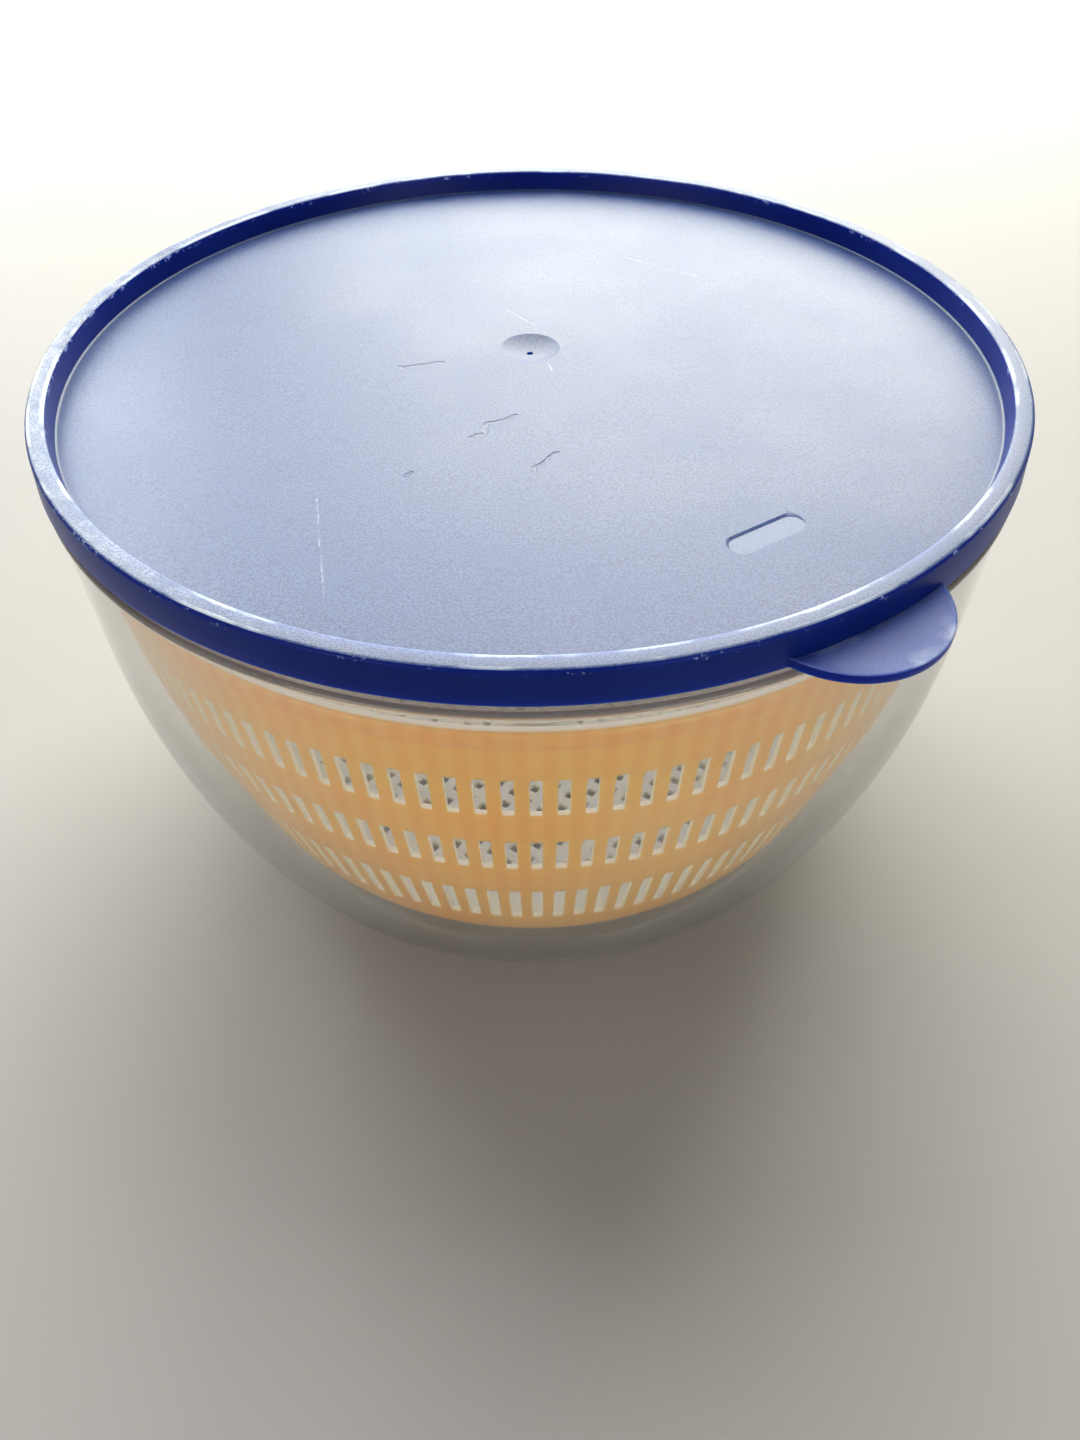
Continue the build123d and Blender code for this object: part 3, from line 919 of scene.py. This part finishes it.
def lid_under():
    """The underside of the lid's plate, which lets a bluish light through to the basket."""
    s = Shader("lid_under")
    patches = s.noise(22, detail=5.0, roughness=0.6)
    s.drive(s.mix(s.ramp(patches, 0.3, 0.7), *LID_UNDER_BLUES), "Base Color")
    s.drive(s.bump(s.noise(500, detail=3.0), 0.06, 0.0001), "Normal")
    s.set(Roughness=0.4, IOR=LID_IOR, Specular_IOR_Level=0.3)
    s.set(Subsurface_Weight=1.0, Subsurface_Radius=(0.5, 0.7, 1.2), Subsurface_Scale=0.007)
    s.pass_light(LID_GLOW)
    return s.material


def bowl_finish():
    """Clear styrene, greyed and clouded by use, with fine scratches round it and up and down it."""
    s = Shader("bowl_styrene")
    cloud = s.noise(18, detail=6.0, roughness=0.6)
    across = s.noise(60, detail=6.0, roughness=0.8, stretch=(1, 1, 9))
    along = s.noise(60, detail=6.0, roughness=0.8, stretch=(5, 5, 1))
    streaks = s.maths("MULTIPLY", s.ramp(across, 0.55, 0.72), 0.07)
    streaks = s.maths("ADD", streaks, s.maths("MULTIPLY", s.ramp(along, 0.60, 0.72), 0.05))
    _, _, height = s.position()
    rim = s.ramp(height, (COLLAR_BOTTOM - 3) * MM, COLLAR_TOP * MM, 0.0, 0.3)
    haze = s.maths("ADD", s.maths("ADD", s.ramp(cloud, 0.3, 0.75, 0.02, 0.07), streaks), rim)
    s.drive(s.maths("SUBTRACT", 1.0, haze), "Transmission Weight")
    s.drive(s.ramp(cloud, 0.3, 0.8, 0.015, 0.05), "Roughness")
    s.drive(s.bump(s.noise(240, detail=4.0, roughness=0.7), 0.05, 0.00005), "Normal")
    edge = s.add("ShaderNodeLayerWeight").outputs["Facing"]
    clear = s.mix(s.ramp(edge, 0.5, 1.0), BOWL_CLEAR, BOWL_EDGE)
    # Painted shadow: above here the collar is painted darker, for the shade under the lid's skirt.
    collar_shadow = s.ramp(height, (COLLAR_BOTTOM + 1.0) * MM, (COLLAR_BOTTOM + 1.5) * MM)
    s.drive(s.mix(collar_shadow, clear, BOWL_COLLAR_SHADOW), "Base Color")
    s.set(IOR=1.45)
    s.pass_light(BOWL_GLOW)
    return s.material


def basket_finish():
    """Unpigmented polypropylene gone warm with age, its amber brightened into a painted glow of light
    scattered through it. It scatters light, its inside is painted paler than its outside as painted light
    inside the basket, and it is a shade lighter in line with its slots, painted light where light comes
    through them."""
    s = Shader("basket_polypropylene")
    x, y, _ = s.position()
    across, along, _ = s.split(s.place.outputs["Normal"])
    outward = s.maths("ADD", s.maths("MULTIPLY", x, across), s.maths("MULTIPLY", y, along))
    outward = s.ramp(s.maths("DIVIDE", outward, s.axis_distance()), 0.1, 0.6)
    outer_wall = s.ramp(s.axis_distance(), HOLE_FIELD[1] * MM, (HOLE_FIELD[1] + 3) * MM)
    outward = s.maths("MULTIPLY", outward, outer_wall)
    # Painted light: the wall is a shade lighter in line with its slots, where light comes through them.
    turn = s.maths("MULTIPLY", s.maths("ARCTAN2", y, x), float(SLOT_COUNT))
    slot_light_bands = s.ramp(s.maths("COSINE", turn), -1.0, 1.0, 0.0, 0.5)
    flow = s.noise(22, detail=5.0, roughness=0.55, stretch=(1, 1, 0.5))
    tone = s.maths("ADD", s.ramp(flow, 0.3, 0.7, 0.0, 0.65), slot_light_bands)
    # The amber is partly the aged colour and partly a painted glow, brightened for light scattered through
    # the wall.
    warm_and_glow = s.mix(tone, *BASKET_AMBERS_AND_GLOW)
    # Painted light: inward faces and the floor take a paler colour, for the light inside the basket.
    s.drive(s.mix(outward, BASKET_INSIDE_PAINTED_LIGHT, warm_and_glow), "Base Color")
    s.set(
        Roughness=0.36,
        IOR=1.49,
        Subsurface_Weight=0.9,
        Subsurface_Radius=(1.0, 0.7, 0.4),
        Subsurface_Scale=0.009,
    )
    s.drive(s.bump(s.noise(600, detail=3.0), 0.08, 0.0001), "Normal")
    return s.material


def steel_finish():
    """Ground stainless steel, with turning marks round the pin."""
    s = Shader("pin_stainless")
    marks = s.noise(600, detail=3.0, stretch=(0.05, 0.05, 1))
    s.drive(s.ramp(marks, 0.3, 0.7, 0.22, 0.36), "Roughness")
    s.drive(s.bump(marks, 0.1, 0.00002), "Normal")
    s.set(Base_Color=(0.62, 0.61, 0.59, 1), Metallic=1.0)
    return s.material


def cup_finish():
    """Natural acetal, off-white and slightly waxy."""
    s = Shader("cup_acetal")
    s.drive(s.mix(s.noise(120, detail=3.0), (0.80, 0.79, 0.74, 1), (0.88, 0.87, 0.83, 1)), "Base Color")
    s.drive(s.bump(s.noise(1500, detail=2.0), 0.1, 0.00005), "Normal")
    s.set(Roughness=0.4, IOR=1.48, Subsurface_Weight=0.2, Subsurface_Scale=0.002)
    return s.material


def floor_finish():
    s = Shader("floor_paper")
    s.drive(s.mix(s.noise(6, detail=4.0), (0.46, 0.45, 0.43, 1), (0.50, 0.49, 0.47, 1)), "Base Color")
    s.set(Roughness=0.8, Specular_IOR_Level=0.1)
    return s.material


# Stage -----------------------------------------------------------------------------------------


def make_floor():
    bpy.ops.mesh.primitive_plane_add(size=8, location=(0, 1, 0))
    floor = bpy.context.object
    floor.name = "floor"
    floor.data.materials.append(floor_finish())


def make_light(name, place, aim, size, power, colour=(1, 1, 1)):
    data = bpy.data.lights.new(name, "AREA")
    data.shape = "RECTANGLE"
    data.size, data.size_y = size
    data.energy = power
    data.color = colour
    light = bpy.data.objects.new(name, data)
    light.location = place
    light.rotation_euler = (Vector(aim) - Vector(place)).to_track_quat("-Z", "Y").to_euler()
    bpy.context.scene.collection.objects.link(light)


def make_lights():
    middle = (0, 0, 0.1)
    make_light("window", (0.27, 1.37, 0.85), middle, (1.5, 1.2), 34, (1.0, 0.99, 0.87))
    make_light("window_left", (-0.95, 1.16, 0.9), middle, (0.7, 1.2), 18, (0.96, 1.0, 1.0))
    make_light("skylight", (0.1, 0.8, 1.75), middle, (1.4, 0.9), 17.5)
    make_light("fill_left", (-1.0, -1.3, 0.5), middle, (0.7, 0.6), 4.2, (1.0, 0.88, 0.74))
    make_light("fill_right", (0.9, -1.4, 0.5), middle, (0.7, 0.6), 4.0, (0.98, 1.0, 0.94))
    world = bpy.data.worlds.new("studio")
    world.use_nodes = True
    background = world.node_tree.nodes["Background"]
    background.inputs["Color"].default_value = (1.0, 0.99, 0.97, 1)
    background.inputs["Strength"].default_value = 0.22
    bpy.context.scene.world = world


def make_camera():
    """The photograph's view: close, from the front and above, with a wide lens."""
    distance, rise = 273, 135
    yaw, pitch, roll = radians(0.4), radians(46.45), radians(-0.5)
    forward = Vector((sin(yaw) * cos(pitch), cos(yaw) * cos(pitch), -sin(pitch)))
    right = Vector((cos(yaw), -sin(yaw), 0))
    up = right.cross(forward)
    right, up = cos(roll) * right + sin(roll) * up, cos(roll) * up - sin(roll) * right
    data = bpy.data.cameras.new("camera")
    data.sensor_fit = "VERTICAL"
    data.sensor_height = 36
    data.lens = 26
    data.clip_start = 0.01
    camera = bpy.data.objects.new("camera", data)
    turn = Matrix((right, up, -forward)).transposed().to_4x4()
    camera.matrix_world = Matrix.Translation(Vector((0, -distance, HEIGHT + rise)) * MM) @ turn
    bpy.context.scene.collection.objects.link(camera)
    bpy.context.scene.camera = camera


def finish_lid(lid):
    """Grain on what faces up, from the dimple to the tab, a glow under the plate, and plain walls."""
    walls, grained, under = range(3)
    lid.data.materials.clear()
    for finish in (lid_smooth(), lid_grained(), lid_under()):
        lid.data.materials.append(finish)
    for face in lid.data.polygons:
        within_lip = hypot(*face.center[:2]) < (LIP_RADIUS + 1) * MM
        face.material_index = walls
        if face.normal.z > (0.4 if within_lip else 0.9):
            face.material_index = grained
        elif face.normal.z < -0.9 and within_lip:
            face.material_index = under


def finish_piece(piece, finish, node, body):
    """A modelled piece takes a CAD node's place on its body."""
    if finish:
        piece.data.materials.clear()
        piece.data.materials.append(finish)
    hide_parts(node)
    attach(piece, body)


def finish_node(name, finish):
    """A CAD node that stays gets its finish and smooth shading."""
    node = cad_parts[name]
    node.data.materials.clear()
    node.data.materials.append(finish)
    smooth(node, sharp=30)


make_camera()
make_lights()
make_floor()
lid = make_lid()
finish_lid(lid)
finish_piece(lid, None, "storage_lid", "lid")
finish_piece(make_bowl(), bowl_finish(), "bowl", "bowl")
finish_piece(make_basket(), basket_finish(), "basket", "basket")
finish_node("pivot_pin", steel_finish())
finish_node("bearing_cup", cup_finish())
bpy.context.scene.view_settings.view_transform = "Standard"
